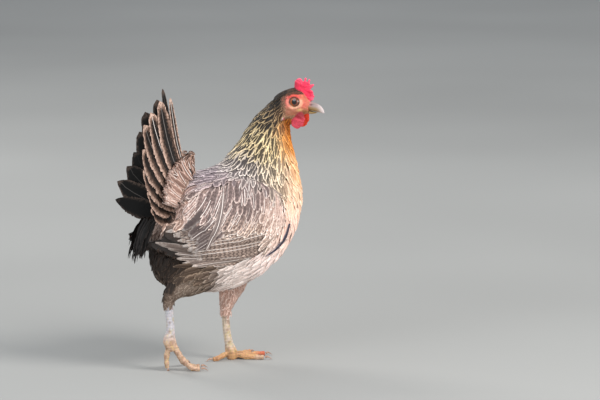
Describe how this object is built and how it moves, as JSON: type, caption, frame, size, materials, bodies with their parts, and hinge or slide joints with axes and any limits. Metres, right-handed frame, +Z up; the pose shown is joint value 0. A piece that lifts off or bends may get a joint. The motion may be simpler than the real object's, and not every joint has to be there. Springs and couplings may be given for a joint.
{
  "type": "hen",
  "caption": "Life-size still model of a walking hen, standing on one flat foot and the toes of the other, with its head turned to the side.",
  "frame": {"origin": "on the floor, below the middle of the whole hen seen from above", "axes": "+Z up, +X the way the hen walks, +Y its left side"},
  "size_m": [0.2792, 0.1544, 0.399],
  "materials": {
    "breast_feather": "soft matt contour feathers, cream to grey-brown",
    "hackle": "long narrow feathers, black centres with straw edges",
    "crown": "short dark feathers and bare wrinkled facial skin",
    "wing_covert": "overlapping broad feathers, pinkish cream with grey and tan mottling",
    "flight_feather": "long stiff feathers, pinkish brown with dark streaks",
    "tail_feather": "stiff glossy black blades, brown and ragged at the outer edges",
    "tail_covert": "tan and salmon feathers with pale shafts",
    "undertail": "loose black wispy feathers",
    "thigh_feather": "fluffy off-white feathers",
    "leg_scale": "rows of horny scales, grey-white to tan",
    "claw": "blunt brown horn",
    "comb": "fine-grained moist red skin",
    "earlobe": "pale smooth skin with a red edge",
    "beak": "smooth pale grey horn, olive along its edges",
    "eye": "wet glossy orange-brown eye with a black pupil"
  },
  "bodies": {
    "root": {"beak_lower": "beak", "beak_upper": "beak", "claw_left_inner": "claw", "claw_left_middle": "claw", "claw_left_outer": "claw", "claw_left_rear": "claw", "claw_right_inner": "claw", "claw_right_middle": "claw", "claw_right_outer": "claw", "claw_right_rear": "claw", "comb": "comb", "earlobe_left": "earlobe", "earlobe_right": "earlobe", "eye_left": "eye", "eye_right": "eye", "head": "crown", "neck": "hackle", "shank_left": "leg_scale", "shank_right": "leg_scale", "sickle_left": "tail_feather", "sickle_right": "tail_feather", "tail_coverts_left": "tail_covert", "tail_coverts_right": "tail_covert", "tail_left_1": "tail_feather", "tail_left_2": "tail_feather", "tail_left_3": "tail_feather", "tail_left_4": "tail_feather", "tail_left_5": "tail_feather", "tail_left_6": "tail_feather", "tail_left_7": "tail_feather", "tail_right_1": "tail_feather", "tail_right_2": "tail_feather", "tail_right_3": "tail_feather", "tail_right_4": "tail_feather", "tail_right_5": "tail_feather", "tail_right_6": "tail_feather", "tail_right_7": "tail_feather", "tail_saddle": "tail_covert", "thigh_left": "thigh_feather", "thigh_right": "thigh_feather", "toe_left_inner": "leg_scale", "toe_left_middle": "leg_scale", "toe_left_outer": "leg_scale", "toe_left_rear": "leg_scale", "toe_right_inner": "leg_scale", "toe_right_middle": "leg_scale", "toe_right_outer": "leg_scale", "toe_right_rear": "leg_scale", "trunk": "breast_feather", "undertail": "undertail", "wattle_left": "comb", "wattle_right": "comb", "wing_left_coverts": "wing_covert", "wing_left_primaries": "flight_feather", "wing_left_secondaries": "flight_feather", "wing_right_coverts": "wing_covert", "wing_right_primaries": "flight_feather", "wing_right_secondaries": "flight_feather"}
  },
  "joints": []
}
